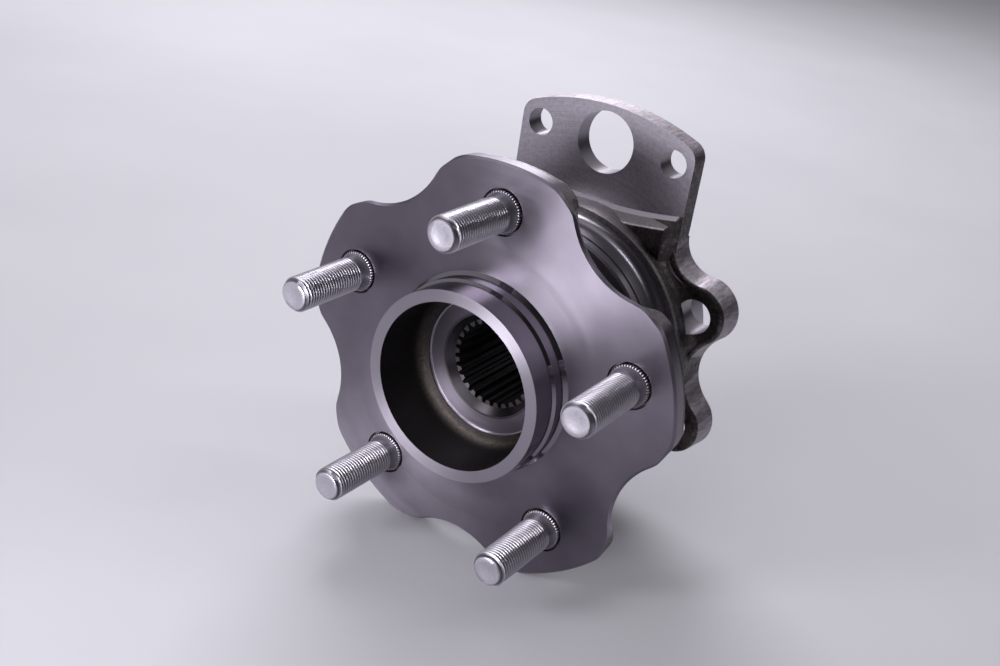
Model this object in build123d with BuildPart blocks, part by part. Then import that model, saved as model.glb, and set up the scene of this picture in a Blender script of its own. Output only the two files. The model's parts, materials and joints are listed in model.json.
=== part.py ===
"""Wheel hub bearing: a driven wheel hub on a double-row ball bearing in a forged housing.

Units are millimetres. The spin axis is Y, the wheel side is -Y, the anchor plate points to +Z,
and the origin is on the spin axis in the face that the wheel is bolted against.
A depth is a distance inboard of that face, along +Y.
"""
from build123d import *
from math import cos, hypot, radians, sin, sqrt, tan
import os

# Hub flange
flange_radius = 73.0
flange_thickness = 8.0
scallop_radius = 30.0
scallop_depth = 13.0
lobe_corner_radius = 12.0
flange_edge_chamfer = 0.8

# Wheel studs
stud_count = 5
stud_circle_diameter = 114.3
stud_radius = 6.0
stud_reach = 32.2
stud_tip_radius = 4.8
stud_tip_length = 1.6
shoulder_length = 5.0
knurl_radius = 7.15
knurl_relief_radius = 7.9
knurl_relief_depth = 2.2
stud_head_radius = 9.5
stud_head_height = 4.5
stud_head_chamfer = 0.8

# Wheel pilot and rotor pilot, around the cup for the axle nut
pilot_height = 15.6
wheel_pilot_radius = 33.0
rotor_pilot_radius = 33.9
rotor_pilot_height = 5.4
pilot_root_radius = 35.2
pilot_root_height = 1.2
pilot_chamfer = 1.3
pilot_wall = 4.1
cup_depth = 21.4
cup_corner_radius = 3.0
nut_seat_radius = 24.6
nut_seat_sink = 1.4

# Splined bore
spline_teeth = 29
spline_tip_radius = 14.3
spline_root_radius = 15.9
spline_tip_space = 0.7
spline_root_space = 0.3
spline_mouth_radius = 18.2
spline_mouth_depth = 2.4
spline_cut_margin = 0.14

# Ball rows
ball_count = 13
ball_radius = 6.35
pitch_radius = 31.5
outboard_row_depth = 50.0
row_spacing = 22.0
race_clearance = 0.1
contact_reach = 64.0

# Hub neck behind the flange
boss_radius = 44.0
boss_length = 6.0
neck_clearance = 2.6
neck_gap = 1.6
journal_drop = 1.9

# Inner ring and the formed end that holds it
inner_ring_seat_drop = 9.9
inner_ring_overhang = 14.2
formed_end_length = 3.8
formed_end_step = 5.6
formed_end_round = 2.6

# Housing: outer ring
ring_overhang = 13.3
ring_wall = 5.15
ring_nose_length = 13.6
ring_nose_chamfer = 0.8
ring_groove_depth = 0.4
ring_groove_width = 1.2
ring_groove_offset = 3.6
collar_step = 5.2
collar_round = 1.6
flare_radius = 3.2
seal_wall = 4.0
seal_bore_length = 6.6
spigot_step = 1.0
spigot_chamfer = 1.6

# Housing: knuckle flange
knuckle_face_depth = 71.0
knuckle_flange_thickness = 11.0
knuckle_body_step = 4.8
foot_flat_depth = 1.2
ear_hole_x = 46.8
ear_half_spacing = 21.6
ear_drop = 1.65
ear_hole_radius = 6.25
ear_radius = 12.0
ear_root_radius = 11.8
ear_hole_runout = 2.5
collar_root_radius = 4.0
waist_half_width = 48.9
forging_draft = 6.0
forging_round = 1.6

# Housing: anchor plate of the parking brake
anchor_step = 1.0
anchor_thickness = 8.0
anchor_half_width = 34.5
anchor_top_radius = 82.5
anchor_corner_radius = 6.0
anchor_hole_height = 69.1
anchor_bore_radius = 11.05
anchor_bolt_radius = 4.9
anchor_bolt_spacing = 53.7
ledge_height = 48.4
ledge_end_rise = 4.0
ledge_projection = 6.4
ledge_draft = 27.0
ledge_round = 1.0
gusset_foot_drop = 13.0

# Cages
cage_thickness = 4.0
cage_base_width = 2.0
cage_prong_reach = 2.6
pocket_clearance = 0.2

# Seals
seal_sheet = 0.8
seal_recess = 0.4
seal_case_gap = 4.0
lip_clearance = 0.15
lip_rubber = 1.2
lip_flare = 0.5
slinger_sheet = 0.6
slinger_gap = 0.6
encoder_thickness = 0.9
encoder_step = 1.9
encoder_recess = 0.9

# Places worked out from the sizes above
stud_circle_radius = stud_circle_diameter / 2
pilot_bore_radius = wheel_pilot_radius - pilot_wall
cup_floor_depth = cup_depth - pilot_height
nut_seat_depth = cup_floor_depth + nut_seat_sink
inboard_row_depth = outboard_row_depth + row_spacing
mid_depth = outboard_row_depth + row_spacing / 2
groove_radius = ball_radius + race_clearance
outer_race_radius = pitch_radius + groove_radius
inner_race_radius = pitch_radius - groove_radius
ring_radius = pitch_radius + ball_radius + ring_wall
seal_bore_radius = ring_radius - seal_wall
collar_radius = ring_radius + collar_step
spigot_radius = ring_radius - spigot_step
knuckle_body_radius = collar_radius + knuckle_body_step
gusset_foot_height = ring_radius - gusset_foot_drop
neck_radius = seal_bore_radius - neck_clearance
journal_radius = pitch_radius - journal_drop
inner_ring_seat_radius = pitch_radius - inner_ring_seat_drop
formed_end_radius = inner_ring_seat_radius + formed_end_step
encoder_inner_radius = journal_radius + encoder_step
ring_front_depth = outboard_row_depth - ring_overhang
ring_back_depth = inboard_row_depth + ring_overhang
outboard_seal_depth = ring_front_depth + seal_bore_length
inboard_seal_depth = ring_back_depth - seal_bore_length
inner_ring_end_depth = inboard_row_depth + inner_ring_overhang
hub_end_depth = inner_ring_end_depth + formed_end_length
neck_end_depth = ring_front_depth - neck_gap
collar_depth = ring_front_depth + ring_nose_length
knuckle_front_depth = knuckle_face_depth - knuckle_flange_thickness
collar_root_inset = knuckle_flange_thickness * tan(radians(forging_draft)) + forging_round
anchor_back_depth = knuckle_face_depth - anchor_step
anchor_front_depth = anchor_back_depth - anchor_thickness
slinger_radius = seal_bore_radius - seal_sheet - slinger_gap


def wheel_plane(depth):
    """Plane square to the spin axis at a depth, facing the wheel, with its own Y upwards."""
    return Plane.XZ.offset(-depth)


def axis_distance(point):
    """How far a point lies from the spin axis."""
    return hypot(point.X, point.Z)


def groove_point(row_depth, angle):
    """Point of a ball groove's section, as radius and depth; angle 0 is outwards, 90 is inboard."""
    turn = radians(angle)
    return (pitch_radius + groove_radius * cos(turn), row_depth + groove_radius * sin(turn))


def groove_arc(row_depth, start, end):
    """Arc of a ball groove's section, between two angles."""
    return ThreePointArc(*[groove_point(row_depth, angle) for angle in (start, (start + end) / 2, end)])


def touch_point(centre, radius, other):
    """Point of a circle that is nearest to another circle's centre."""
    return Vector(centre) + (Vector(other) - Vector(centre)).normalized() * radius


def section_points(back_depth, outward, corners):
    """Corners of a seal's section, given as radius and height above the seal's back."""
    return [(radius, back_depth + outward * height) for radius, height in corners]


def finish(piece, name):
    """Labels a finished piece and writes it."""
    piece.part.label = name
    export_step(piece.part, f"parts/{name}.step")


os.makedirs("parts", exist_ok=True)

# Hub spindle: pilot, flange, neck, outboard raceway, inner ring seat and formed end in one forging
with BuildPart() as hub_spindle:
    with BuildSketch(Plane.XY) as spindle_section:
        with BuildLine():
            outboard_shoulder = groove_point(outboard_row_depth, 180 + contact_reach)
            Polyline(
                (spline_tip_radius, nut_seat_depth),
                (nut_seat_radius, nut_seat_depth),
                (nut_seat_radius, cup_floor_depth),
                (pilot_bore_radius, cup_floor_depth),
                (pilot_bore_radius, -pilot_height),
                (wheel_pilot_radius, -pilot_height),
                (wheel_pilot_radius, -rotor_pilot_height - (rotor_pilot_radius - wheel_pilot_radius)),
                (rotor_pilot_radius, -rotor_pilot_height),
                (rotor_pilot_radius, -pilot_root_height),
                (pilot_root_radius, 0),
                (boss_radius, 0),
                (boss_radius, flange_thickness),
                (neck_radius, flange_thickness + boss_length),
                (neck_radius, neck_end_depth),
                (journal_radius, neck_end_depth),
                (journal_radius, outboard_seal_depth),
                (outboard_shoulder[0], outboard_seal_depth),
                outboard_shoulder,
            )
            groove_arc(outboard_row_depth, 180 + contact_reach, 180)
            Polyline(
                (inner_race_radius, outboard_row_depth),
                (inner_race_radius, mid_depth),
                (inner_ring_seat_radius, mid_depth),
                (inner_ring_seat_radius, inner_ring_end_depth),
                (formed_end_radius, inner_ring_end_depth),
                (formed_end_radius, hub_end_depth),
                (spline_tip_radius, hub_end_depth),
                (spline_tip_radius, nut_seat_depth),
            )
        make_face()
        corners = spindle_section.vertices()
        fillet(corners.sort_by_distance((pilot_bore_radius, cup_floor_depth))[0], cup_corner_radius)
        fillet(corners.sort_by_distance((neck_radius, flange_thickness + boss_length))[0], boss_length)
        fillet(corners.sort_by_distance((journal_radius, neck_end_depth))[0], neck_gap)
        fillet(corners.sort_by_distance((formed_end_radius, hub_end_depth))[0], formed_end_round)
        chamfer(corners.sort_by_distance((wheel_pilot_radius, -pilot_height))[0], pilot_chamfer)
        chamfer(corners.sort_by_distance((neck_radius, neck_end_depth))[0], neck_gap)
    revolve(axis=Axis.Y)

    # Scalloped flange
    with BuildSketch(wheel_plane(flange_thickness)) as flange_outline:
        Circle(flange_radius)
        scallop_centre_radius = flange_radius - scallop_depth + scallop_radius
        with PolarLocations(scallop_centre_radius, stud_count, 90 + 180 / stud_count):
            Circle(scallop_radius, mode=Mode.SUBTRACT)
        fillet(flange_outline.vertices(), lobe_corner_radius)
        Circle(neck_radius, mode=Mode.SUBTRACT)
    extrude(amount=flange_thickness)
    rim = hub_spindle.edges().filter_by(
        lambda edge: axis_distance(edge @ 0.5) > flange_radius - scallop_depth - flange_edge_chamfer
        and abs((edge @ 0).Y - (edge @ 1).Y) < flange_edge_chamfer
    )
    chamfer(rim, flange_edge_chamfer)

    # Stud holes, each with a relief around its knurl
    for depth, hole_radius in ((flange_thickness, knurl_radius), (knurl_relief_depth, knurl_relief_radius)):
        with BuildSketch(wheel_plane(depth)):
            with PolarLocations(stud_circle_radius, stud_count, 90):
                Circle(hole_radius)
        extrude(amount=depth, mode=Mode.SUBTRACT)

    # Spline: tooth spaces with straight flanks, each wider at the bore than at its root
    tooth_pitch = radians(360 / spline_teeth)
    space_start = spline_tip_radius * cos(tooth_pitch / 2) - spline_cut_margin
    space_corners = [
        (radius * cos(tooth_pitch * share / 2), side * radius * sin(tooth_pitch * share / 2))
        for radius, share, side in (
            (space_start, spline_tip_space, -1),
            (spline_root_radius, spline_root_space, -1),
            (spline_root_radius, spline_root_space, 1),
            (space_start, spline_tip_space, 1),
        )
    ]
    with BuildSketch(wheel_plane(hub_end_depth)):
        with PolarLocations(0, spline_teeth, 90):
            Polygon(*space_corners, align=None)
    extrude(amount=hub_end_depth - nut_seat_depth, mode=Mode.SUBTRACT)

    # Countersunk mouth of the spline
    with BuildSketch(Plane.XY):
        with BuildLine():
            Polyline(
                (0, nut_seat_depth),
                (spline_mouth_radius, nut_seat_depth),
                (spline_root_radius, nut_seat_depth + spline_mouth_depth),
                (0, nut_seat_depth + spline_mouth_depth),
                close=True,
            )
        make_face()
    revolve(axis=Axis.Y, mode=Mode.SUBTRACT)
finish(hub_spindle, "hub_spindle")

# One wheel stud, standing with its tip up and the flange's front face at height 0
with BuildPart() as wheel_stud:
    with BuildSketch(Plane.XZ) as stud_section:
        with BuildLine():
            Polyline(
                (0, -flange_thickness - stud_head_height),
                (stud_head_radius, -flange_thickness - stud_head_height),
                (stud_head_radius, -flange_thickness),
                (knurl_radius, -flange_thickness),
                (knurl_radius, 0),
                (stud_radius, shoulder_length),
                (stud_radius, stud_reach - stud_tip_length),
                (stud_tip_radius, stud_reach),
                (0, stud_reach),
                close=True,
            )
        make_face()
        head_corner = (stud_head_radius, -flange_thickness - stud_head_height)
        chamfer(stud_section.vertices().sort_by_distance(head_corner)[0], stud_head_chamfer)
    revolve(axis=Axis.Z)

# The five studs, pressed in from behind the flange
with BuildPart(Plane.XZ) as wheel_studs:
    with PolarLocations(stud_circle_radius, stud_count, 90):
        add(wheel_stud.part)
finish(wheel_studs, "wheel_studs")

# Knuckle flange blank: four ears on a round body, with a waist between the ears of each side.
# The upper ears run in an arc up to the anchor plate's sides.
upper_ear = (ear_hole_x, ear_half_spacing - ear_drop)
lower_ear = (ear_hole_x, -ear_half_spacing - ear_drop)
waist_offset = ear_hole_x - waist_half_width
waist_radius = (waist_offset**2 + ear_half_spacing**2 - ear_radius**2) / (2 * (ear_radius + waist_offset))
waist = (waist_half_width + waist_radius, -ear_drop)
root_to_ear = ear_radius + ear_root_radius
upper_root_x = anchor_half_width + ear_root_radius
upper_root = (upper_root_x, upper_ear[1] + sqrt(root_to_ear**2 - (upper_root_x - ear_hole_x) ** 2))
root_distance = knuckle_body_radius + ear_root_radius
ear_distance = hypot(*lower_ear)
root_share = (root_distance**2 + ear_distance**2 - root_to_ear**2) / (2 * root_distance * ear_distance)
lower_root = Vector(lower_ear).normalized().rotate(Axis.Z, -90) * (root_distance * sqrt(1 - root_share**2))
lower_root = lower_root + Vector(lower_ear).normalized() * (root_distance * root_share)
with BuildPart() as knuckle_flange:
    with BuildSketch(wheel_plane(knuckle_face_depth)) as knuckle_outline:
        with BuildLine():
            plate_side = (anchor_half_width, upper_root[1])
            upper_ear_end = touch_point(upper_ear, ear_radius, upper_root)
            lower_ear_end = touch_point(lower_ear, ear_radius, lower_root)
            waist_top = touch_point(waist, waist_radius, upper_ear)
            waist_bottom = touch_point(waist, waist_radius, lower_ear)
            upper_ear_tip = touch_point(upper_ear, ear_radius, Vector(upper_ear) * 2)
            lower_ear_tip = touch_point(lower_ear, ear_radius, Vector(lower_ear) * 2)
            body_side = touch_point((0, 0), knuckle_body_radius, lower_root)
            Line((0, upper_root[1]), plate_side)
            RadiusArc(plate_side, upper_ear_end, -ear_root_radius)
            ThreePointArc(upper_ear_end, upper_ear_tip, waist_top)
            ThreePointArc(waist_top, (waist_half_width, -ear_drop), waist_bottom)
            ThreePointArc(waist_bottom, lower_ear_tip, lower_ear_end)
            RadiusArc(lower_ear_end, body_side, -ear_root_radius)
            RadiusArc(body_side, (0, -knuckle_body_radius), knuckle_body_radius)
            mirror(about=Plane.YZ)
        make_face()
    extrude(amount=knuckle_flange_thickness, taper=forging_draft)
    fillet(knuckle_flange.faces().sort_by(Axis.Y)[0].edges(), forging_round)

    # Flat foot that the unit stands on
    with BuildSketch(wheel_plane(knuckle_face_depth)):
        with Locations((0, -knuckle_body_radius)):
            Rectangle(2 * knuckle_body_radius, 2 * foot_flat_depth)
    extrude(amount=knuckle_flange_thickness, mode=Mode.SUBTRACT)

# Forged root between the collar and the front of the knuckle flange, kept inside the flange's outline
with BuildPart() as collar_root:
    with BuildSketch(wheel_plane(knuckle_face_depth)):
        add(knuckle_outline.sketch)
        offset(amount=-collar_root_inset)
    extrude(amount=knuckle_flange_thickness + collar_root_radius)
    with BuildSketch(Plane.XY):
        with BuildLine():
            root_top = (collar_radius, knuckle_front_depth - collar_root_radius)
            root_foot = (collar_radius + collar_root_radius, knuckle_front_depth)
            RadiusArc(root_top, root_foot, collar_root_radius)
            Polyline(
                root_foot,
                (root_foot[0], knuckle_face_depth),
                (0, knuckle_face_depth),
                (0, root_top[1]),
                root_top,
            )
        make_face()
    revolve(axis=Axis.Y, mode=Mode.INTERSECT)

# Gusset blank, drafted on all sides; its sloping top ledge starts where the plate's milled face ends
with BuildPart() as gusset:
    with BuildSketch(wheel_plane(anchor_front_depth)):
        with BuildLine():
            left_end = (-anchor_half_width, ledge_height + ledge_end_rise)
            right_end = (anchor_half_width, ledge_height + ledge_end_rise)
            ThreePointArc(left_end, (0, ledge_height), right_end)
            Polyline(
                right_end,
                (anchor_half_width, gusset_foot_height),
                (-anchor_half_width, gusset_foot_height),
                left_end,
            )
        make_face()
    extrude(amount=ledge_projection, taper=ledge_draft)
    fillet(gusset.faces().sort_by(Axis.Y)[0].edges(), ledge_round)

# Housing: turned outer ring, knuckle flange and anchor plate in one forging
with BuildPart() as housing:
    with BuildSketch(Plane.XY) as ring_section:
        with BuildLine():
            Polyline(
                (0, ring_front_depth),
                (ring_radius, ring_front_depth),
                (ring_radius, ring_front_depth + ring_groove_offset),
                (ring_radius - ring_groove_depth, ring_front_depth + ring_groove_offset),
                (ring_radius - ring_groove_depth, ring_front_depth + ring_groove_offset + ring_groove_width),
                (ring_radius, ring_front_depth + ring_groove_offset + ring_groove_width),
                (ring_radius, collar_depth),
                (collar_radius, collar_depth),
                (collar_radius, knuckle_face_depth),
                (spigot_radius, knuckle_face_depth),
                (spigot_radius, ring_back_depth),
                (0, ring_back_depth),
                close=True,
            )
        make_face()
        corners = ring_section.vertices()
        chamfer(corners.sort_by_distance((ring_radius, ring_front_depth))[0], ring_nose_chamfer)
        fillet(corners.sort_by_distance((ring_radius, collar_depth))[0], flare_radius)
        fillet(corners.sort_by_distance((collar_radius, collar_depth))[0], collar_round)
        chamfer(corners.sort_by_distance((spigot_radius, ring_back_depth))[0], spigot_chamfer)
    revolve(axis=Axis.Y)
    add(knuckle_flange.part)
    add(collar_root.part)

    # Anchor plate, with a top edge concentric with the hub
    with BuildSketch(wheel_plane(anchor_back_depth)) as anchor_outline:
        Circle(anchor_top_radius)
        with Locations((0, ring_radius + anchor_top_radius / 2)):
            Rectangle(2 * anchor_half_width, anchor_top_radius, mode=Mode.INTERSECT)
        with Locations((0, ring_radius)):
            Rectangle(2 * anchor_half_width, collar_radius - ring_radius)
        fillet(anchor_outline.vertices().group_by(Axis.Y)[-1], anchor_corner_radius)
    extrude(amount=anchor_thickness)

    add(gusset.part)

    # Bore with the two outer raceways and the seal seats
    with BuildSketch(Plane.XY):
        with BuildLine():
            outboard_land = groove_point(outboard_row_depth, contact_reach)
            inboard_land = groove_point(inboard_row_depth, -contact_reach)
            Polyline(
                (outer_race_radius, outboard_row_depth),
                (outer_race_radius, outboard_seal_depth),
                (seal_bore_radius, outboard_seal_depth),
                (seal_bore_radius, ring_front_depth),
                (0, ring_front_depth),
                (0, ring_back_depth),
                (seal_bore_radius, ring_back_depth),
                (seal_bore_radius, inboard_seal_depth),
                (outer_race_radius, inboard_seal_depth),
                (outer_race_radius, inboard_row_depth),
            )
            groove_arc(inboard_row_depth, 0, -contact_reach)
            Line(inboard_land, outboard_land)
            groove_arc(outboard_row_depth, contact_reach, 0)
        make_face()
    revolve(axis=Axis.Y, mode=Mode.SUBTRACT)

    # Knuckle bolt holes, drilled from the back
    with BuildSketch(wheel_plane(knuckle_face_depth)):
        with Locations((0, -ear_drop)):
            with GridLocations(2 * ear_hole_x, 2 * ear_half_spacing, 2, 2):
                Circle(ear_hole_radius)
    extrude(amount=knuckle_flange_thickness + ear_hole_runout, mode=Mode.SUBTRACT)

    # Anchor bolt holes and the large anchor bore
    with BuildSketch(wheel_plane(anchor_back_depth)):
        with Locations((0, anchor_hole_height)):
            Circle(anchor_bore_radius)
            with GridLocations(anchor_bolt_spacing, 1, 2, 1):
                Circle(anchor_bolt_radius)
    extrude(amount=anchor_thickness, mode=Mode.SUBTRACT)
finish(housing, "housing")

# Inboard inner ring
with BuildPart() as inner_ring:
    with BuildSketch(Plane.XY) as inner_ring_section:
        with BuildLine():
            inboard_shoulder = groove_point(inboard_row_depth, 180 - contact_reach)
            Polyline(
                inboard_shoulder,
                (inboard_shoulder[0], inboard_seal_depth),
                (journal_radius, inboard_seal_depth),
                (journal_radius, inner_ring_end_depth),
                (inner_ring_seat_radius, inner_ring_end_depth),
                (inner_ring_seat_radius, mid_depth),
                (inner_race_radius, mid_depth),
                (inner_race_radius, inboard_row_depth),
            )
            groove_arc(inboard_row_depth, 180, 180 - contact_reach)
        make_face()
    revolve(axis=Axis.Y)
finish(inner_ring, "inner_ring")

# Balls and their crown cages; each cage's base is on the side of the other row
for row_name, row_depth, inward in (
    ("outboard", outboard_row_depth, 1),
    ("inboard", inboard_row_depth, -1),
):
    for index in range(ball_count):
        angle = 90 + index * 360 / ball_count
        with BuildPart(wheel_plane(row_depth)) as ball:
            with PolarLocations(pitch_radius, 1, angle):
                Sphere(ball_radius)
        finish(ball, f"ball_{row_name}_{index + 1:02d}")

    pocket_radius = ball_radius + pocket_clearance
    prong_depth = row_depth - inward * cage_prong_reach
    base_depth = row_depth + inward * (pocket_radius + cage_base_width)
    with BuildPart() as cage:
        with BuildSketch(Plane.XY):
            with Locations((pitch_radius, (prong_depth + base_depth) / 2)):
                Rectangle(cage_thickness, abs(base_depth - prong_depth))
        revolve(axis=Axis.Y)
        for index in range(ball_count):
            angle = radians(90 + index * 360 / ball_count)
            outward = (cos(angle), 0, sin(angle))
            with BuildSketch(Plane(origin=(0, row_depth, 0), x_dir=(0, 1, 0), z_dir=outward)):
                Circle(pocket_radius)
            extrude(amount=pitch_radius + cage_thickness, mode=Mode.SUBTRACT)
    finish(cage, f"cage_{row_name}")

# Lip seals; outward points from the seal's back to the open end of its bore
for row_name, back_depth, outward, running_radius in (
    ("outboard", outboard_seal_depth, -1, journal_radius),
    ("inboard", inboard_seal_depth, 1, journal_radius + slinger_sheet),
):
    case_bore_radius = seal_bore_radius - seal_sheet
    case_hole_radius = running_radius + seal_case_gap
    case_length = seal_bore_length - seal_recess
    lip_radius = running_radius + lip_clearance
    axial_lip_reach = case_length - lip_rubber

    case_corners = (
        (seal_bore_radius, 0),
        (seal_bore_radius, case_length),
        (case_bore_radius, case_length),
        (case_bore_radius, seal_sheet),
        (case_hole_radius, seal_sheet),
        (case_hole_radius, 0),
    )
    with BuildPart() as seal_case:
        with BuildSketch(Plane.XY):
            with BuildLine():
                Polyline(*section_points(back_depth, outward, case_corners), close=True)
            make_face()
        revolve(axis=Axis.Y)
    finish(seal_case, f"seal_case_{row_name}")

    rubber_height = seal_sheet + lip_rubber
    lip_corners = (
        (case_hole_radius, 0),
        (case_hole_radius, seal_sheet),
        (case_bore_radius, seal_sheet),
        (case_bore_radius, rubber_height),
        (case_bore_radius - lip_rubber, rubber_height),
        (case_bore_radius - lip_rubber, axial_lip_reach),
        (case_bore_radius - lip_rubber - lip_flare, axial_lip_reach),
        (case_hole_radius, rubber_height),
        (lip_radius + lip_rubber, rubber_height),
        (lip_radius, rubber_height + lip_rubber),
        (lip_radius + lip_rubber / 2, rubber_height - lip_rubber / 2),
        (lip_radius, lip_rubber / 2),
        (lip_radius + lip_rubber / 2, 0),
    )
    with BuildPart() as seal_lip:
        with BuildSketch(Plane.XY):
            with BuildLine():
                Polyline(*section_points(back_depth, outward, lip_corners), close=True)
            make_face()
        revolve(axis=Axis.Y)
    finish(seal_lip, f"seal_lip_{row_name}")

# Slinger on the inner ring, and the sensor's encoder ring bonded to it
slinger_back_depth = inner_ring_end_depth - encoder_thickness - encoder_recess
with BuildPart() as slinger_inboard:
    with BuildSketch(Plane.XY):
        with BuildLine():
            Polyline(
                (journal_radius, inboard_seal_depth + seal_recess),
                (journal_radius + slinger_sheet, inboard_seal_depth + seal_recess),
                (journal_radius + slinger_sheet, slinger_back_depth - slinger_sheet),
                (slinger_radius, slinger_back_depth - slinger_sheet),
                (slinger_radius, slinger_back_depth),
                (journal_radius, slinger_back_depth),
                close=True,
            )
        make_face()
    revolve(axis=Axis.Y)
finish(slinger_inboard, "slinger_inboard")

with BuildPart() as encoder_ring:
    with BuildSketch(wheel_plane(slinger_back_depth)):
        Circle(slinger_radius)
        Circle(encoder_inner_radius, mode=Mode.SUBTRACT)
    extrude(amount=-encoder_thickness)
finish(encoder_ring, "encoder_ring")
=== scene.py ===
import json
import math

import bmesh
import bpy
from mathutils import Matrix, Vector


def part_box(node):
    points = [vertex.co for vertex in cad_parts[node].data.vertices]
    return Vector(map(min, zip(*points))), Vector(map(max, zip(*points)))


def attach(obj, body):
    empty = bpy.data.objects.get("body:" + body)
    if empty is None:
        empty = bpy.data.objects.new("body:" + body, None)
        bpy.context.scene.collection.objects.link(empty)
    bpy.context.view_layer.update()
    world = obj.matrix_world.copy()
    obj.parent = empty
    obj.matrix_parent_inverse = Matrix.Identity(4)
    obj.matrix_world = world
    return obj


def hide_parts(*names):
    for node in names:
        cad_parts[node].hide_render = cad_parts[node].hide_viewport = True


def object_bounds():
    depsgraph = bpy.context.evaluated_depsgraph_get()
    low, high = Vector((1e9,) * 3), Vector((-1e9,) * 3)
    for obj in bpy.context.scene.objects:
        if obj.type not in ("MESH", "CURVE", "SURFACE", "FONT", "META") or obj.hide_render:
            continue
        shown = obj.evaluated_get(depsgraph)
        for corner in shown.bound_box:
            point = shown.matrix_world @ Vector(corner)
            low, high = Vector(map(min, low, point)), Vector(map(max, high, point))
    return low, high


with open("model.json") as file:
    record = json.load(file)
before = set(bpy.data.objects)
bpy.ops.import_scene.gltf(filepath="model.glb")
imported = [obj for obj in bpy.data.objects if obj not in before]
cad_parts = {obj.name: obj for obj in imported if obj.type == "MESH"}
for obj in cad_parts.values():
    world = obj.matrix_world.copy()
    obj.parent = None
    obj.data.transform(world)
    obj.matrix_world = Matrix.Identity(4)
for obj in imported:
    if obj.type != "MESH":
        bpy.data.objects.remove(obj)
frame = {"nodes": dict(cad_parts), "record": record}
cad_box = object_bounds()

# The frame is in metres; the sizes below are in millimetres and are scaled by MM where they meet it.
# The spin axis is Y, the wheel side is -Y, and a depth is a distance along +Y from the wheel face.
MM = 0.001


def mount(name):
    """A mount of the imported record."""
    return next(entry for entry in frame["record"]["mounts"] if entry["name"] == name)


# Studs: heights run from the flange's front face towards the tip
STUD_COUNT = mount("wheel_studs")["dims"]["count"]
STUD_CIRCLE_RADIUS = mount("wheel_studs")["dims"]["pcd_mm"] / 2
STUD_RADIUS = mount("wheel_studs")["dims"]["stud_r_mm"]
STUD_TIP = -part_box("wheel_studs")[0].y / MM
STUD_BACK = -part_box("wheel_studs")[1].y / MM
STUD_SEGMENTS = 64
STUD_TURN = 1.7
STUD_SHARP_ANGLE = 40
FLANGE_BACK = -8.0
THREAD_PITCH = 1.25
THREAD_DEPTH = 0.77
THREAD_START = 4.3
THREAD_ROWS_PER_TURN = 8
THREAD_FADE_IN = 0.9
THREAD_FADE_OUT = 0.8
GROOVE_PEAK = 1.35
GROOVE_SLOPE = 3.4
GROOVE_EDGE = 0.35
TIP_CHAMFER = 1.6
TIP_MARGIN = 0.3
SUNK_HEIGHT = -0.3
KNURL_TEETH = 44
KNURL_RADIUS = 6.93
KNURL_DEPTH = 0.23
KNURL_END = 0.3
KNURL_CHAMFER = 0.42
KNURL_BURIED = 0.5
KNURL_SEGMENTS = 8 * KNURL_TEETH
SHANK_ROOT_RADIUS = 6.6
HEAD_RADIUS = 9.5
HEAD_EDGE_RADIUS = 9.4
HEAD_EDGE = 0.2
# Pairs of height and radius: up from the flange's face, down from the tip, and up from the head's back
SHANK_FLARE = [(0.0, 0.0), (0.0, 6.55), (0.72, SHANK_ROOT_RADIUS), (0.95, 6.52), (1.3, 6.36), (1.8, 6.18),
               (2.4, 6.05), (3.1, 5.98), (3.9, 5.96)]
TIP_PROFILE = [(1.2, 5.72), (0.6, 5.25), (0.15, 4.86), (0.0, 4.6), (0.0, 3.2), (0.12, 2.4), (0.2, 0.0)]
HEAD_PROFILE = [(0.9, HEAD_RADIUS), (0.35, 9.2), (0.0, 8.6), (0.0, 4.0), (0.3, 3.4), (0.3, 0.0)]

# Flange rim: turned over the lobes, and a drafted forging edge in the scallops between them
LOBE_RADIUS = 73.0
LOBE_EDGE = 1.6
SCALLOP_BLEND = 5.0
SCALLOP_FRONT_GROWTH = 1.7
SCALLOP_BACK_DRAFT = 1.5
LOBE_BACK_DRAFT = 0.5
STUD_HOLE_REACH = 9.0
HUB_SHARP_ANGLE = 28
MERGE_DISTANCE = 0.001

# Zones of the hub
CUP_RADIUS = 28.95
CUP_MOUTH = -15.5
CUP_FLOOR_DEPTH = 3.0
CUP_FLOOR_BLEND = 1.9
NUT_SEAT_RADIUS = 24.65
NUT_SEAT_DEPTH = 6.4
SEAT_EDGE_WIDTH = 0.45
SEAT_EDGE_HEIGHT = 1.0
SPLINE_MOUTH_RADIUS = 19.0
SPLINE_RADIUS = 17.9
PILOT_RADIUS = 35.6
PILOT_START_DEPTH = -0.05
PILOT_END_DEPTH = -4.0
FLANGE_RIM_RADIUS = 57.0
FLANGE_RIM_DEPTH = 8.5
TURNED_RIM_HEIGHT = 0.7
TURNED_RIM_DEPTH = 6.0
FORGED_BACK_DEPTH = 7.0
NECK_RADIUS = 39.0

# Zones of the housing
NOSE_RADIUS = 46.3
COLLAR_DEPTH = 50.4
COLLAR_MARGIN = 0.2
COLLAR_RIM_DEPTH = 52.2
PLATE_FACE_DEPTH = 62.0
PLATE_FACE_REACH = 0.1
MILLED_HEIGHT = 48.6
MILLED_MARGIN = 0.6
STRIP_HALF_WIDTH = 33.0
STRIP_REACH = 2.2
STRIP_HEIGHT = 5.0
STRIP_RISE = 4.0
BORDER_HEIGHT = 1.1
LEDGE_FOOT_HEIGHT = 42.0
TRIM_RADIUS = 49.2
KNUCKLE_FACE_DEPTH = 70.9
EAR_FRONT_DEPTH = 58.0
EAR_HOLE_X = mount("knuckle_bolts")["dims"]["spacing_x_mm"] / 2
EAR_HALF_SPACING = mount("knuckle_bolts")["dims"]["spacing_y_mm"] / 2
EAR_CENTRE = mount("knuckle_bolts")["pos_m"][2] / MM
EAR_HOLE_RADIUS = mount("knuckle_bolts")["dims"]["hole_r_mm"]
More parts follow.
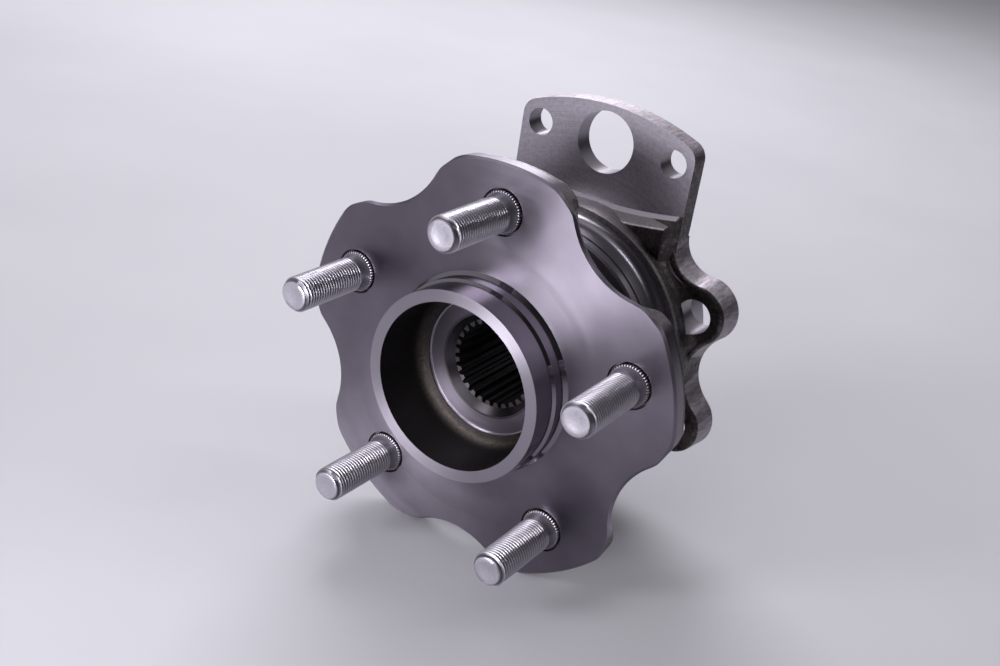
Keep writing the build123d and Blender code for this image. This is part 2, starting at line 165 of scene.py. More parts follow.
ANCHOR_HOLE_HEIGHT = mount("anchor_bore")["pos_m"][2] / MM
ANCHOR_BORE_RADIUS = mount("anchor_bore")["dims"]["r_mm"]
ANCHOR_BOLT_RADIUS = 4.9
ANCHOR_BOLT_X = 26.85
HOLE_MARGIN = 0.1

# How far a face looks along the spin axis: 0 for a wall along it, 1 for a face square to it
WALL_FACING = 0.3
END_FACING = 0.8
FACE_FACING = 0.9
FLAT_FACING = 0.97

# Share of a place that shifts the turning marks, so that they aren't perfect circles
MARK_DRIFT = 0.0012

# Colours of the hub
TURNED_STEEL = (0.15, 0.135, 0.165)
STAINED_STEEL = (0.24, 0.215, 0.26)
PILOT_STEEL = (0.27, 0.25, 0.285)
PILOT_END_STEEL = (0.29, 0.268, 0.31)
# Spline mouth and teeth: partly dark steel, partly painted shade deep in the cup
SPLINE_MOUTH_TONE_AND_SHADE = (0.085, 0.078, 0.088)
SPLINE_TEETH_TONE_AND_SHADE = (0.06, 0.055, 0.06)
# Painted highlight line along the nut seat's outer edge
SEAT_EDGE_HIGHLIGHT = (0.42, 0.39, 0.44)
# Forging scale of the hub: dark, light, and a glint tone that is a painted highlight on high spots
HUB_SCALE = ((0.10, 0.09, 0.095), (0.17, 0.155, 0.16), (0.36, 0.34, 0.36))
# Inside the cup: dark forging scale plus painted shade of the deep recess
CUP_SCALE_AND_SHADE = (0.022, 0.020, 0.021)
CUP_FLOOR_SCALE = (0.055, 0.047, 0.043)

# Colours of the housing
NOSE_STEEL = (0.44, 0.42, 0.47)
PLATE_STEEL = ((0.155, 0.142, 0.167), (0.225, 0.207, 0.24))
DRILLED_STEEL = (0.22, 0.205, 0.235)
# Forging scale of the housing: dark, light, and a glint tone that is a painted highlight on high spots
HOUSING_SCALE = ((0.035, 0.031, 0.032), (0.10, 0.088, 0.088), (0.30, 0.275, 0.28))
# Painted light on the ledge's upward faces
LEDGE_LIGHT = (0.52, 0.48, 0.50)
# Painted light on the plate's rough strip below the milled border
STRIP_LIGHT = (0.48, 0.45, 0.48)
# Painted highlight along the milled face's lower border
BORDER_HIGHLIGHT = (0.80, 0.77, 0.82)
# Trimmed walls with shear streaks, lightened partly by painted light on upward faces
TRIM_STEEL_AND_LIGHT = ((0.19, 0.17, 0.19), (0.50, 0.45, 0.51))
# Painted glints on the collar's rough rim
COLLAR_RIM_GLINT = (0.34, 0.32, 0.33)

# Colours of the studs' coating, with painted shade in the thread's grooves and below the flange's face
COATING = ((0.31, 0.295, 0.34), (0.46, 0.44, 0.49))
COATING_CLOUD = (0.33, 0.315, 0.36)
# Painted shade in the thread's grooves
GROOVE_SHADE = (0.10, 0.095, 0.11)
# Painted shade below the flange's front face, in the stud hole and also on the head
SUNK_SHADE = (0.05, 0.048, 0.05)

# Colours of the inner pieces
RING_STEEL = (0.62, 0.62, 0.64)
SEAL_STEEL = (0.50, 0.50, 0.52)
STAINLESS = (0.66, 0.66, 0.68)
BALL_STEEL = ((0.76, 0.76, 0.78), (0.66, 0.65, 0.64))
CAGE_PLASTIC = (0.05, 0.05, 0.055)
SEAL_RUBBER = (0.02, 0.02, 0.022)
ENCODER_RUBBER = (0.03, 0.028, 0.027)

# Camera, fitted to the photo's studs, pilot and flange
CAMERA_PLACE = Vector((0.1923, -0.3185, 0.1921))
CAMERA_AHEAD = Vector((-0.45584, 0.78020, -0.42837))
CAMERA_UP = Vector((-0.34687, 0.28751, 0.89276))
CAMERA_LENS = 45.28
CAMERA_SENSOR = 36.0
CAMERA_NEAR = 0.01

# Studio: places and sizes in metres, lamp power in watts
FLOOR_SIZE = 5.0
FLOOR_GREY = ((0.46, 0.455, 0.485), (0.50, 0.495, 0.525))
LAMP_TINT = (0.97, 0.96, 1.0)
LAMP_TARGET = Vector((0, 0.03, 0))
ROOM_BRIGHT_SIDE = Vector((-0.55, 0.45, 0.70))
ROOM_RANGE = {"From Min": 0.1, "From Max": 0.85, "To Min": 0.02, "To Max": 0.50}


class Paint:
    """One material's node tree, with short calls for its nodes. Lengths inside it are in millimetres."""

    def __init__(self, name):
        self.material = bpy.data.materials.new(name)
        self.material.use_nodes = True
        self.tree = self.material.node_tree
        self.shader = self.tree.nodes["Principled BSDF"]
        coordinates = self.node("ShaderNodeTexCoord")
        self.place = self.vector("SCALE", coordinates.outputs["Object"], scale=1 / MM)
        self.x, self.depth, self.z = self.node("ShaderNodeSeparateXYZ", self.place).outputs
        normal = self.node("ShaderNodeSeparateXYZ", coordinates.outputs["Normal"]).outputs
        self.facing = self.math("ABSOLUTE", normal[1])
        self.upward = normal[2]
        self.radius = self.distance(0, 0)

    def node(self, kind, *values, **settings):
        """Adds a node, sets its options and fills its inputs in order, with plain values or sockets."""
        made = self.tree.nodes.new(kind)
        for name, value in settings.items():
            setattr(made, name, value)
        for socket, value in zip(made.inputs, values):
            self.fill(socket, value)
        return made

    def fill(self, socket, value):
        """Links a socket or sets a plain value; None leaves the input alone."""
        if isinstance(value, bpy.types.NodeSocket):
            self.tree.links.new(value, socket)
        elif value is not None:
            socket.default_value = value

    def math(self, operation, *values):
        return self.node("ShaderNodeMath", *values, operation=operation).outputs[0]

    def share(self, value, part):
        """A value times a plain number."""
        return self.math("MULTIPLY", value, part)

    def vector(self, operation, *values, scale=None):
        made = self.node("ShaderNodeVectorMath", *values, operation=operation)
        if scale is not None:
            made.inputs["Scale"].default_value = scale
        return made.outputs["Value" if operation == "LENGTH" else "Vector"]

    def distance(self, x, z):
        """Distance from a line along Y."""
        across = self.math("SUBTRACT", self.x, x)
        up = self.math("SUBTRACT", self.z, z)
        return self.length(across, up)

    def length(self, first, second):
        return self.vector("LENGTH", self.node("ShaderNodeCombineXYZ", first, second, 0.0).outputs[0])

    def above(self, value, edge, soft=0.05):
        """0 below an edge and 1 above it, with a soft step between."""
        made = self.node("ShaderNodeMapRange", value, edge - soft, edge + soft,
                         interpolation_type="SMOOTHSTEP")
        return made.outputs[0]

    def below(self, value, edge, soft=0.05):
        return self.outside(self.above(value, edge, soft))

    def near(self, value, middle, reach, soft=0.05):
        """1 within reach of a middle value."""
        return self.below(self.math("ABSOLUTE", self.math("SUBTRACT", value, middle)), reach, soft)

    def outside(self, mask):
        return self.math("SUBTRACT", 1.0, mask)

    def both(self, *masks):
        result = masks[0]
        for mask in masks[1:]:
            result = self.math("MULTIPLY", result, mask)
        return result

    def either(self, *masks):
        result = masks[0]
        for mask in masks[1:]:
            result = self.math("MAXIMUM", result, mask)
        return result

    def noise(self, scale, detail=3.0, roughness=0.55, stretch=None, place=None):
        """Noise from 0 to 1 with scale features per millimetre, squeezed along each axis by stretch."""
        place = place or self.place
        if stretch:
            place = self.vector("MULTIPLY", place, stretch)
        made = self.node("ShaderNodeTexNoise", place)
        made.inputs["Scale"].default_value = scale
        made.inputs["Detail"].default_value = detail
        made.inputs["Roughness"].default_value = roughness
        return made.outputs["Fac"]

    def rings(self, scale, detail=4.0):
        """Tool marks round the spin axis: noise over radius and depth, nearly the same all round."""
        turned = self.node("ShaderNodeCombineXYZ", self.radius, self.depth, 0.0).outputs[0]
        drift = self.vector("SCALE", self.place, scale=MARK_DRIFT)
        return self.noise(scale, detail, 0.7, place=self.vector("ADD", turned, drift))

    def span(self, value, low, high, start=0.3, end=0.7):
        """Maps noise from start..end to low..high."""
        return self.node("ShaderNodeMapRange", value, start, end, low, high).outputs[0]

    def mix(self, factor, first, second):
        """Blends two numbers or two colours."""
        if isinstance(first, tuple) or isinstance(second, tuple) or getattr(first, "type", "") == "RGBA":
            made = self.tree.nodes.new("ShaderNodeMix")
            made.data_type = "RGBA"
            self.fill(made.inputs[0], factor)
            self.fill(made.inputs[6], colour(first))
            self.fill(made.inputs[7], colour(second))
            return made.outputs[2]
        return self.node("ShaderNodeMix", factor, None, first, second).outputs[0]

    def bump(self, height, distance):
        """Turns a height from 0 to 1 into a normal; distance is its full height in millimetres."""
        made = self.node("ShaderNodeBump")
        made.inputs["Distance"].default_value = distance * MM
        self.fill(made.inputs["Height"], height)
        return made.outputs["Normal"]

    def finish(self, **inputs):
        """Fills the shader's inputs by name, with underscores for spaces, and gives the material."""
        for name, value in inputs.items():
            self.fill(self.shader.inputs[name.replace("_", " ")], colour(value))
        return self.material


def colour(value):
    """Adds the fourth number to a colour and leaves other values alone."""
    return (*value, 1.0) if isinstance(value, tuple) and len(value) == 3 else value


def scaled(tone, share):
    """A colour made lighter or darker."""
    return tuple(min(1.0, share * part) for part in tone)


def forged_skin(paint, dark, light, glint):
    """Colour, roughness and height of rough forging scale, with painted glints on its fine high spots."""
    coarse = paint.noise(0.16, 3.0, 0.6)
    grain = paint.noise(2.6, 4.0, 0.7)
    lumps = paint.noise(0.7, 3.0, 0.6)
    height = paint.math("ADD", paint.share(grain, 0.6), paint.share(lumps, 0.4))
    tone = paint.mix(paint.span(coarse, 0.0, 1.0, 0.35, 0.65), dark, light)
    tone = paint.mix(paint.span(height, 0.0, 1.0, 0.53, 0.68), tone, glint)
    return tone, paint.span(height, 0.55, 0.36, 0.4, 0.65), height


def turned_skin(paint, base, low, high):
    """Colour, roughness and height of a face turned in a lathe."""
    marks = paint.rings(2.4)
    wide = paint.rings(0.12, 2.0)
    stain = paint.noise(0.03, 3.0, 0.6)
    tone = paint.mix(paint.span(marks, 0.0, 0.4), base, scaled(base, 0.86))
    tone = paint.mix(paint.span(stain, 0.0, 0.4, 0.4, 0.65), tone, STAINED_STEEL)
    shine = paint.math("ADD", paint.span(marks, low, high), paint.span(wide, -0.03, 0.03))
    return tone, shine, marks


def add_tangent(paint):
    """Turning marks run round Y, so the gloss spreads across them."""
    tangent = paint.node("ShaderNodeTangent", direction_type="RADIAL", axis="Y")
    paint.tree.links.new(tangent.outputs[0], paint.shader.inputs["Tangent"])


def hub_zones(paint):
    """Masks of the hub: forged skin, cup, pilot, and what the cup's floor holds."""
    inside = paint.both(paint.below(paint.radius, CUP_RADIUS, 0.04),
                        paint.above(paint.depth, CUP_MOUTH, 0.1))
    seat = paint.both(paint.below(paint.radius, NUT_SEAT_RADIUS),
                      paint.above(paint.depth, NUT_SEAT_DEPTH))
    cup = paint.both(inside, paint.outside(seat))
    wall = paint.below(paint.facing, WALL_FACING, 0.1)
    rim = paint.both(paint.above(paint.radius, FLANGE_RIM_RADIUS), wall,
                     paint.below(paint.depth, FLANGE_RIM_DEPTH))
    turned_rim = paint.both(rim, paint.above(paint.radius, LOBE_RADIUS - TURNED_RIM_HEIGHT, 0.3),
                            paint.below(paint.depth, TURNED_RIM_DEPTH, 0.4))
    back = paint.both(paint.above(paint.radius, NECK_RADIUS, 1.0),
                      paint.above(paint.depth, FORGED_BACK_DEPTH, 0.3))
    within_pilot = paint.below(paint.radius, PILOT_RADIUS)
    return {
        "forged": paint.either(cup, back, paint.both(rim, paint.outside(turned_rim))),
        "cup": cup,
        "cup_floor": paint.both(cup, paint.above(paint.depth, CUP_FLOOR_DEPTH, CUP_FLOOR_BLEND)),
        "pilot": paint.both(within_pilot, paint.below(paint.facing, END_FACING),
                            paint.below(paint.depth, PILOT_START_DEPTH), paint.outside(inside)),
        "pilot_end": paint.both(within_pilot, paint.above(paint.facing, END_FACING),
                                paint.below(paint.depth, PILOT_END_DEPTH)),
        "mouth": paint.both(paint.below(paint.radius, SPLINE_MOUTH_RADIUS), seat),
        # Where the painted highlight line on the nut seat's outer edge goes
        "seat_edge": paint.both(paint.above(paint.radius, NUT_SEAT_RADIUS - SEAT_EDGE_WIDTH), seat,
                                paint.below(paint.depth, NUT_SEAT_DEPTH + SEAT_EDGE_HEIGHT)),
        "teeth": paint.both(paint.below(paint.radius, SPLINE_RADIUS), wall, seat),
    }


def hub_material():
    """Turned bare steel, with a forged cup and spline painted dark (dark scale and steel plus painted shade
    in the recess), a painted highlight on the nut seat's edge, a sheared flange rim and a forged flange
    back.
    """
    paint = Paint("hub_steel")
    zones = hub_zones(paint)
    bright, shine, marks = turned_skin(paint, TURNED_STEEL, 0.28, 0.36)
    shine = paint.mix(zones["pilot"], shine, paint.span(marks, 0.07, 0.14))
    bright = paint.mix(zones["pilot"], bright, PILOT_STEEL)
    bright = paint.mix(zones["pilot_end"], bright, PILOT_END_STEEL)
    # The spline's mouth is painted dark: partly dark steel, partly painted shade deep in the cup
    bright = paint.mix(zones["mouth"], bright, SPLINE_MOUTH_TONE_AND_SHADE)
    # Painted highlight line along the nut seat's outer edge
    bright = paint.mix(zones["seat_edge"], bright, SEAT_EDGE_HIGHLIGHT)
    # The spline's teeth are painted darker still: partly dark steel, partly painted shade
    bright = paint.mix(zones["teeth"], bright, SPLINE_TEETH_TONE_AND_SHADE)

    scale_tone, rough, scale = forged_skin(paint, *HUB_SCALE)
    # The cup's scale is painted nearly black: dark scale plus painted shade in the recess
    scale_tone = paint.mix(zones["cup"], scale_tone, CUP_SCALE_AND_SHADE)
    worn_floor = paint.both(zones["cup_floor"], paint.span(scale, 0.0, 1.0, 0.35, 0.6))
    scale_tone = paint.mix(worn_floor, scale_tone, CUP_FLOOR_SCALE)

    height = paint.mix(zones["forged"], paint.share(marks, 0.03), scale)
    height = paint.mix(zones["pilot"], height, paint.share(marks, 0.008))
    add_tangent(paint)
    return paint.finish(Base_Color=paint.mix(zones["forged"], bright, scale_tone), Metallic=1.0,
                        Roughness=paint.mix(zones["forged"], shine, rough), Anisotropic=0.85,
                        Anisotropic_Rotation=0.25, Normal=paint.bump(height, 0.14))


def housing_holes(paint):
    """Mask of the three holes in the anchor plate and the four in the ears."""
    anchor_bore = paint.distance(0, ANCHOR_HOLE_HEIGHT)
    anchor_holes = [paint.below(anchor_bore, ANCHOR_BORE_RADIUS + HOLE_MARGIN)]
    for side in (-1, 1):
        bolt = paint.distance(side * ANCHOR_BOLT_X, ANCHOR_HOLE_HEIGHT)
        anchor_holes.append(paint.below(bolt, ANCHOR_BOLT_RADIUS + HOLE_MARGIN))
    ear_holes = []
    for side in (-1, 1):
        for level in (-1, 1):
            bolt = paint.distance(side * EAR_HOLE_X, EAR_CENTRE + level * EAR_HALF_SPACING)
            ear_holes.append(paint.below(bolt, EAR_HOLE_RADIUS + HOLE_MARGIN))
    in_ears = paint.both(paint.either(*ear_holes), paint.above(paint.depth, EAR_FRONT_DEPTH))
    return paint.either(*anchor_holes, in_ears)


def housing_scale(paint):
    """Colour, roughness and height of the forged skin, with painted light on the upward-facing ledge and the
    plate's lower strip, a painted highlight along the milled border, trimmed walls lightened partly by
    painted light, and painted glints on the collar's rim.
    """
    dark, rough, scale = forged_skin(paint, *HOUSING_SCALE)
    scale_high_spots = paint.span(scale, 0.5, 1.0)
    # Painted light on the ledge's upward faces, on the scale's high spots
    ledge = paint.both(paint.above(paint.upward, 0.35, 0.2), paint.above(paint.z, LEDGE_FOOT_HEIGHT, 2.0),
                       paint.below(paint.z, MILLED_HEIGHT + MILLED_MARGIN))
    dark = paint.mix(paint.both(ledge, scale_high_spots), dark, LEDGE_LIGHT)

    plate_front = paint.both(paint.near(paint.depth, PLATE_FACE_DEPTH, STRIP_REACH, 0.2),
                             paint.near(paint.x, 0.0, STRIP_HALF_WIDTH, 0.3),
                             paint.below(paint.z, MILLED_HEIGHT + STRIP_RISE, 0.5))
    # Painted light on the plate's rough strip below the milled border, on the scale's high spots
    strip = paint.both(plate_front, paint.above(paint.z, MILLED_HEIGHT - STRIP_HEIGHT, 0.8))
    dark = paint.mix(paint.both(strip, scale_high_spots), dark, STRIP_LIGHT)
    # Painted highlight along the milled face's lower border
    border = paint.both(plate_front, paint.above(paint.z, MILLED_HEIGHT - BORDER_HEIGHT, 0.3))
    dark = paint.mix(border, dark, BORDER_HIGHLIGHT)

    # Walls beyond the trim radius get lighter streaky trim: the ears' trimmed walls below the ledge foot,
    # and upward faces higher up as painted light; the plate's sides between stay dark
    low_or_upward = paint.either(paint.below(paint.z, LEDGE_FOOT_HEIGHT, 3.0),
                                 paint.above(paint.upward, 0.4, 0.2))
    trimmed_and_lit = paint.both(paint.below(paint.facing, WALL_FACING, 0.12),
                         paint.above(paint.radius, TRIM_RADIUS, 0.3), low_or_upward)
    streaks = paint.noise(1.1, 4.0, 0.65, stretch=(1.0, 0.16, 1.0))
    trim_tone = paint.mix(paint.span(streaks, 0.0, 1.0), *TRIM_STEEL_AND_LIGHT)
    dark = paint.mix(paint.share(trimmed_and_lit, 0.8), dark, trim_tone)

    # Painted glints on the collar's rough rim, blended by the scale's height
    collar_rim = paint.both(paint.below(paint.depth, COLLAR_RIM_DEPTH, 0.4),
                            paint.above(paint.depth, COLLAR_DEPTH - COLLAR_MARGIN))
    dark = paint.mix(paint.both(collar_rim, paint.span(scale, 0.2, 0.9)), dark, COLLAR_RIM_GLINT)
    trim_scale = paint.math("ADD", paint.share(streaks, 0.8), paint.share(scale, 0.15))
    return dark, rough, paint.mix(trimmed_and_lit, scale, trim_scale)


def housing_material():
    """Dark forging with a turned ring nose, a milled plate face and drilled holes."""
    paint = Paint("housing_forging")
    nose = paint.both(paint.below(paint.radius, NOSE_RADIUS, 0.1),
                      paint.below(paint.depth, COLLAR_DEPTH, 0.3))
    milled = paint.both(paint.above(paint.facing, FLAT_FACING, 0.01),
                        paint.above(paint.z, MILLED_HEIGHT - MILLED_MARGIN),
                        paint.near(paint.depth, PLATE_FACE_DEPTH, PLATE_FACE_REACH))
    rear = paint.above(paint.depth, KNUCKLE_FACE_DEPTH)
    drilled = housing_holes(paint)
    machined = paint.either(nose, milled, rear, drilled)

    bright, shine, marks = turned_skin(paint, NOSE_STEEL, 0.26, 0.36)
    brush = paint.math("ADD", paint.share(marks, 0.5), paint.share(paint.noise(0.9, 5.0, 0.7), 0.5))
    plate_tone = paint.mix(paint.span(brush, 0.0, 1.0, 0.4, 0.6), *PLATE_STEEL)
    bright = paint.mix(milled, bright, plate_tone)
    bright = paint.mix(drilled, bright, DRILLED_STEEL)
    shine = paint.mix(milled, shine, paint.span(brush, 0.36, 0.46))
    shine = paint.mix(drilled, shine, 0.36)
    marks = paint.mix(milled, marks, brush)

    dark, rough, scale = housing_scale(paint)
    height = paint.mix(machined, scale, paint.share(marks, 0.03))
    return paint.finish(Base_Color=paint.mix(machined, dark, bright), Metallic=1.0,
                        Roughness=paint.mix(machined, rough, shine), Normal=paint.bump(height, 0.2))


def coated_material():
    """Silver-grey zinc flake coating of the studs, with painted shade in the thread's grooves and below the
    flange's front face; Z runs along the stud.
    """
    paint = Paint("stud_coating")
    reach = paint.length(paint.x, paint.depth)
    in_thread = paint.both(paint.above(paint.z, THREAD_START),
                           paint.below(paint.z, STUD_TIP - TIP_MARGIN))
    groove = paint.both(in_thread, paint.below(reach, STUD_RADIUS - GROOVE_EDGE, GROOVE_EDGE))
    sunk = paint.below(paint.z, SUNK_HEIGHT, 0.2)
    flakes = paint.noise(2.2, 5.0, 0.75)
    cloud = paint.noise(0.2, 3.0)
    tone = paint.mix(paint.span(flakes, 0.0, 1.0), *COATING)
    tone = paint.mix(paint.span(cloud, 0.0, 0.3), tone, COATING_CLOUD)
    # Painted shade in the thread's grooves
    tone = paint.mix(paint.share(groove, 0.9), tone, GROOVE_SHADE)
    # Painted shade below the flange's front face, in the stud hole and also on the head
    tone = paint.mix(paint.share(sunk, 0.9), tone, SUNK_SHADE)
    return paint.finish(Base_Color=tone, Metallic=0.85, Roughness=paint.span(flakes, 0.3, 0.44),
                        Normal=paint.bump(flakes, 0.03))


def plain_steel(name, base, low, high):
    """Ground or pressed steel of the inner pieces, with fine marks round the axis."""
    paint = Paint(name)
    marks = paint.rings(3.0)
    tone = paint.mix(paint.span(marks, 0.0, 1.0), base, scaled(base, 0.85))
    return paint.finish(Base_Color=tone, Metallic=1.0, Roughness=paint.span(marks, low, high),
                        Normal=paint.bump(marks, 0.004))


def ball_material():
    """Polished balls with a trace of oil."""
    paint = Paint("ball_steel")
    smear = paint.noise(0.6, 3.0)
    tone = paint.mix(paint.span(smear, 0.0, 1.0), *BALL_STEEL)
    return paint.finish(Base_Color=tone, Metallic=1.0, Roughness=paint.span(smear, 0.06, 0.16))


def moulded_material(name, base, low, high, depth):
    """Rubber or moulded plastic with a fine grain."""
    paint = Paint(name)
    grain = paint.noise(4.0, 3.0)
    wide = paint.noise(0.3, 3.0)
    tone = paint.mix(paint.span(wide, 0.0, 1.0), base, scaled(base, 1.6))
    return paint.finish(Base_Color=tone, Metallic=0.0, Roughness=paint.span(grain, low, high),
                        Normal=paint.bump(grain, depth))


def dress(node, material):
    """Gives a CAD node its material."""
    slots = frame["nodes"][node].data.materials
    slots.clear()
    slots.append(material)


def link_object(name, data):
    """Makes an object of a mesh, lamp or camera and puts it in the scene."""
    made = bpy.data.objects.new(name, data)
    bpy.context.scene.collection.objects.link(made)
    return made


def take_mesh(mesh, name):
    """Turns a bmesh into a mesh."""
    data = bpy.data.meshes.new(name)
    mesh.to_mesh(data)
    mesh.free()
    return data


def smooth_mesh(data, sharp_degrees):
    """Smooth shading with sharp edges above an angle."""
    data.shade_smooth()
    data.set_sharp_from_angle(angle=math.radians(sharp_degrees))


def lathe(mesh, profile, segments, shape=None):
    """Adds a turned skin: profile lists (height, radius), and shape changes a radius by angle and height."""
    rings = []
    for height, radius in profile:
        ring = []
        for index in range(segments if radius else 1):
            angle = 2 * math.pi * index / segments
            reach = radius + (shape(angle, height) if shape and radius else 0.0)
            corner = (reach * math.cos(angle) * MM, reach * math.sin(angle) * MM, height * MM)
            ring.append(mesh.verts.new(corner))
        rings.append(ring)
    for low, high in zip(rings, rings[1:]):
        for index in range(segments):
            after = (index + 1) % segments
            corners = (low[index % len(low)], low[after % len(low)],
                       high[after % len(high)], high[index % len(high)])
            mesh.faces.new(list(dict.fromkeys(corners)))


def thread_shape(angle, height):
    """How deep the thread cuts at an angle and height; it fades out at both ends."""
    phase = (height / THREAD_PITCH - angle / (2 * math.pi)) % 1.0
    groove = min(1.0, max(0.0, GROOVE_PEAK - abs(phase - 0.5) * GROOVE_SLOPE))
    start = max(0.0, (height - THREAD_START) / THREAD_FADE_IN)
    end = max(0.0, (STUD_TIP - height) / THREAD_FADE_OUT)
    return -THREAD_DEPTH * groove * min(1.0, start, end)


def knurl_shape(angle, height):
    """Fine teeth round the stud where it is pressed into the flange."""
    return KNURL_DEPTH * math.cos(angle * KNURL_TEETH) if height <= KNURL_END else 0.0


def stud_mesh():
    """One stud with its tip up and the flange's front face at height 0: threaded shank, knurl and head."""
    mesh = bmesh.new()
    thread_length = STUD_TIP - TIP_CHAMFER - THREAD_START
    rows = int(thread_length / THREAD_PITCH * THREAD_ROWS_PER_TURN)
    step = thread_length / rows
    shank = SHANK_FLARE + [(THREAD_START + row * step, STUD_RADIUS) for row in range(rows + 1)]
    shank += [(STUD_TIP - drop, radius) for drop, radius in TIP_PROFILE]
    lathe(mesh, shank, STUD_SEGMENTS, thread_shape)

    buried = FLANGE_BACK - KNURL_BURIED
    knurl_top = KNURL_END + KNURL_CHAMFER
    knurl = [(buried, 0.0), (buried, KNURL_RADIUS), (0.0, KNURL_RADIUS), (KNURL_END, KNURL_RADIUS),
             (knurl_top, SHANK_ROOT_RADIUS), (knurl_top, 0.0)]
    lathe(mesh, knurl, KNURL_SEGMENTS, knurl_shape)

    head = [(FLANGE_BACK, 0.0), (FLANGE_BACK, HEAD_EDGE_RADIUS), (FLANGE_BACK - HEAD_EDGE, HEAD_RADIUS)]
    head += [(STUD_BACK + rise, radius) for rise, radius in HEAD_PROFILE]
    lathe(mesh, head, STUD_SEGMENTS)
    bmesh.ops.recalc_face_normals(mesh, faces=mesh.faces)
    data = take_mesh(mesh, "stud")
    smooth_mesh(data, STUD_SHARP_ANGLE)
    return data


def distance_to_stud(place):
    """Distance in the flange's plane from a place to the nearest stud's axis."""
    stud_angle = 2 * math.pi / STUD_COUNT
    turn = (math.atan2(place.z, place.x) - math.pi / 2 + stud_angle / 2) % stud_angle - stud_angle / 2
    reach = math.hypot(place.x, place.z)
    return math.hypot(reach * math.cos(turn) - STUD_CIRCLE_RADIUS, reach * math.sin(turn))


def rim_normals(mesh):
    """Outward direction of the flange's rim at each corner on it, from the rim's own faces."""
    normals = {}
    for face in mesh.faces:
        middle = face.calc_center_median() / MM
        inward = math.hypot(middle.x, middle.z) < FLANGE_RIM_RADIUS
        if inward or abs(face.normal.y) > FACE_FACING or distance_to_stud(middle) < STUD_HOLE_REACH:
            continue
        for corner in face.verts:
            outward = Vector((face.normal.x, 0, face.normal.z)) * face.calc_area()
            normals[corner] = normals.get(corner, Vector()) + outward
    return {corner: outward.normalized() for corner, outward in normals.items()}


def shape_rim(mesh):
    """Moves the scallops' edge outwards in front and drafts the rim towards the back."""
    for corner, outward in rim_normals(mesh).items():
        reach = math.hypot(corner.co.x, corner.co.z) / MM
        share = min(1.0, max(0.0, (LOBE_RADIUS - LOBE_EDGE - reach) / SCALLOP_BLEND))
        share = share * share * (3 - 2 * share)
        back = corner.co.y / MM > -FLANGE_BACK / 2
        shift = -LOBE_BACK_DRAFT - SCALLOP_BACK_DRAFT * share if back else SCALLOP_FRONT_GROWTH * share
        corner.co += outward * shift * MM


def add_hub(material):
    """The hub with the rim of its forging."""
    mesh = bmesh.new()
    mesh.from_mesh(frame["nodes"]["hub_spindle"].data)
    bmesh.ops.remove_doubles(mesh, verts=mesh.verts, dist=MERGE_DISTANCE * MM)
    mesh.normal_update()
    shape_rim(mesh)
    data = take_mesh(mesh, "hub")
    if "custom_normal" in data.attributes:
        data.attributes.remove(data.attributes["custom_normal"])
    smooth_mesh(data, HUB_SHARP_ANGLE)
    data.materials.clear()
    data.materials.append(material)
    hub = link_object("hub", data)
    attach(hub, "hub")
    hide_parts("hub_spindle")


def add_studs(material):
    """The five studs, each turned a little so that their threads don't match."""
    data = stud_mesh()
    data.materials.append(material)
    tip_up = Matrix.Rotation(math.radians(90), 4, "X")
    for index in range(STUD_COUNT):
        angle = math.radians(90 + index * 360 / STUD_COUNT)
        stud = link_object(f"stud_{index + 1}", data)
        place = Vector((math.cos(angle), 0, math.sin(angle))) * STUD_CIRCLE_RADIUS * MM
        turned = Matrix.Rotation(STUD_TURN * index, 4, "Z")
        stud.matrix_world = Matrix.Translation(place) @ tip_up @ turned
        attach(stud, "hub")
        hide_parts("wheel_studs")


def add_camera():
    """The photo's camera: place, direction and lens come from a fit to the object's circles."""
    data = bpy.data.cameras.new("camera")
    data.sensor_fit = "HORIZONTAL"
    data.sensor_width = CAMERA_SENSOR
    data.lens = CAMERA_LENS
    data.clip_start = CAMERA_NEAR
    camera = link_object("camera", data)
    axes = Matrix((CAMERA_AHEAD.cross(CAMERA_UP), CAMERA_UP, -CAMERA_AHEAD)).transposed()
    camera.matrix_world = Matrix.Translation(CAMERA_PLACE) @ axes.to_4x4()
    bpy.context.scene.camera = camera


def add_floor():
    """Plain pale floor under the flange's lowest lobes."""
    mesh = bmesh.new()
    bmesh.ops.create_grid(mesh, x_segments=8, y_segments=8, size=FLOOR_SIZE)
    data = take_mesh(mesh, "floor")
    floor = link_object("floor", data)
    floor.location.z = cad_box[0].z
    paint = Paint("floor")
    tone = paint.mix(paint.span(paint.noise(0.004, 3.0), 0.0, 1.0), *FLOOR_GREY)
    data.materials.append(paint.finish(Base_Color=tone, Roughness=0.85, Specular_IOR_Level=0.15))


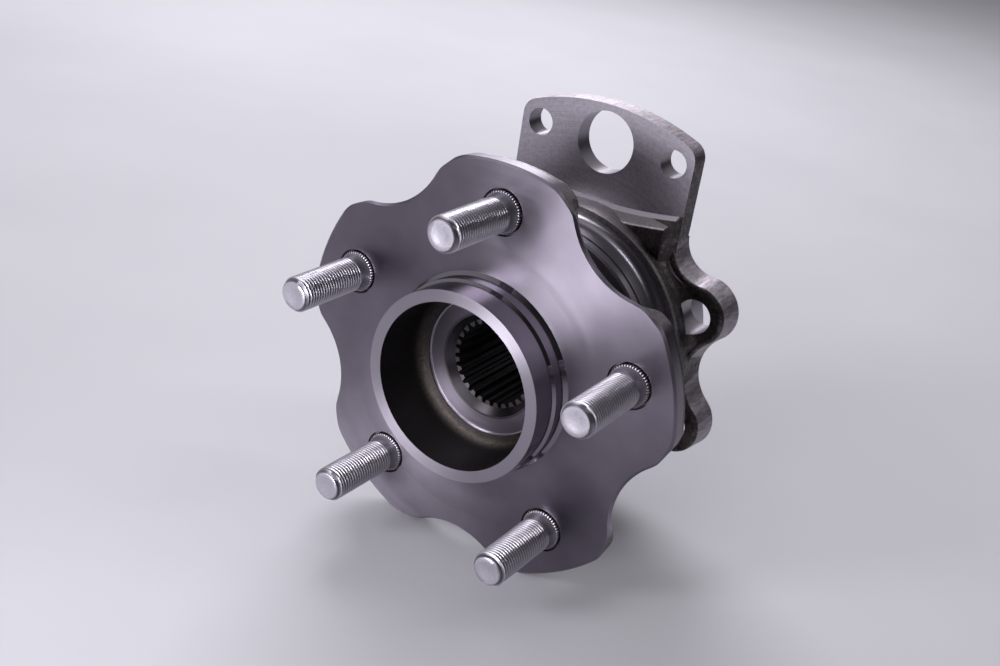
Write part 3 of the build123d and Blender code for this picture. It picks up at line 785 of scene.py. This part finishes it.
def add_world():
    """Soft grey room, brighter above and behind the object's left."""
    world = bpy.data.worlds.new("studio")
    world.use_nodes = True
    bpy.context.scene.world = world
    tree = world.node_tree
    direction = tree.nodes.new("ShaderNodeTexCoord").outputs["Generated"]
    along = tree.nodes.new("ShaderNodeVectorMath")
    along.operation = "DOT_PRODUCT"
    along.inputs[1].default_value = ROOM_BRIGHT_SIDE.normalized()
    tree.links.new(direction, along.inputs[0])
    level = tree.nodes.new("ShaderNodeMapRange")
    level.interpolation_type = "SMOOTHSTEP"
    for name, value in ROOM_RANGE.items():
        level.inputs[name].default_value = value
    tree.links.new(along.outputs["Value"], level.inputs["Value"])
    tree.links.new(level.outputs[0], tree.nodes["Background"].inputs["Strength"])
    tree.nodes["Background"].inputs["Color"].default_value = (*LAMP_TINT, 1.0)


def add_lamp(name, place, size, power, spread=180.0):
    """A softbox that faces the middle of the object; spread is its opening in degrees."""
    data = bpy.data.lights.new(name, "AREA")
    data.shape = "RECTANGLE"
    data.size, data.size_y = size
    data.energy = power
    data.spread = math.radians(spread)
    data.color = LAMP_TINT
    lamp = link_object(name, data)
    lamp.location = place
    lamp.rotation_euler = (LAMP_TARGET - Vector(place)).to_track_quat("-Z", "Y").to_euler()


def dress_inner_pieces():
    """Materials of the rings, cages, seals, encoder and balls."""
    dress("inner_ring", plain_steel("bearing_steel", RING_STEEL, 0.14, 0.24))
    for row in ("outboard", "inboard"):
        dress(f"cage_{row}", moulded_material("cage_polyamide", CAGE_PLASTIC, 0.4, 0.55, 0.02))
        dress(f"seal_case_{row}", plain_steel("seal_steel", SEAL_STEEL, 0.25, 0.38))
        dress(f"seal_lip_{row}", moulded_material("seal_rubber", SEAL_RUBBER, 0.45, 0.65, 0.03))
    dress("slinger_inboard", plain_steel("stainless_sheet", STAINLESS, 0.16, 0.28))
    dress("encoder_ring", moulded_material("encoder_rubber", ENCODER_RUBBER, 0.4, 0.6, 0.02))
    steel_balls = ball_material()
    for node in frame["nodes"]:
        if node.startswith("ball_"):
            dress(node, steel_balls)


add_camera()
add_floor()
add_world()
add_lamp("key", place=(-0.68, 0.80, 0.82), size=(0.7, 0.5), power=15.0)
add_lamp("front", place=(-0.02, -0.50, 0.05), size=(0.30, 0.12), power=0.54, spread=64.0)
add_lamp("fill", place=(-0.52, -0.92, 0.55), size=(0.35, 0.35), power=7.0)
add_lamp("edge", place=(0.55, 0.45, 0.95), size=(0.15, 0.8), power=2.5)

add_hub(hub_material())
dress("housing", housing_material())
dress_inner_pieces()
add_studs(coated_material())

view = bpy.context.scene.view_settings
view.view_transform = "Standard"
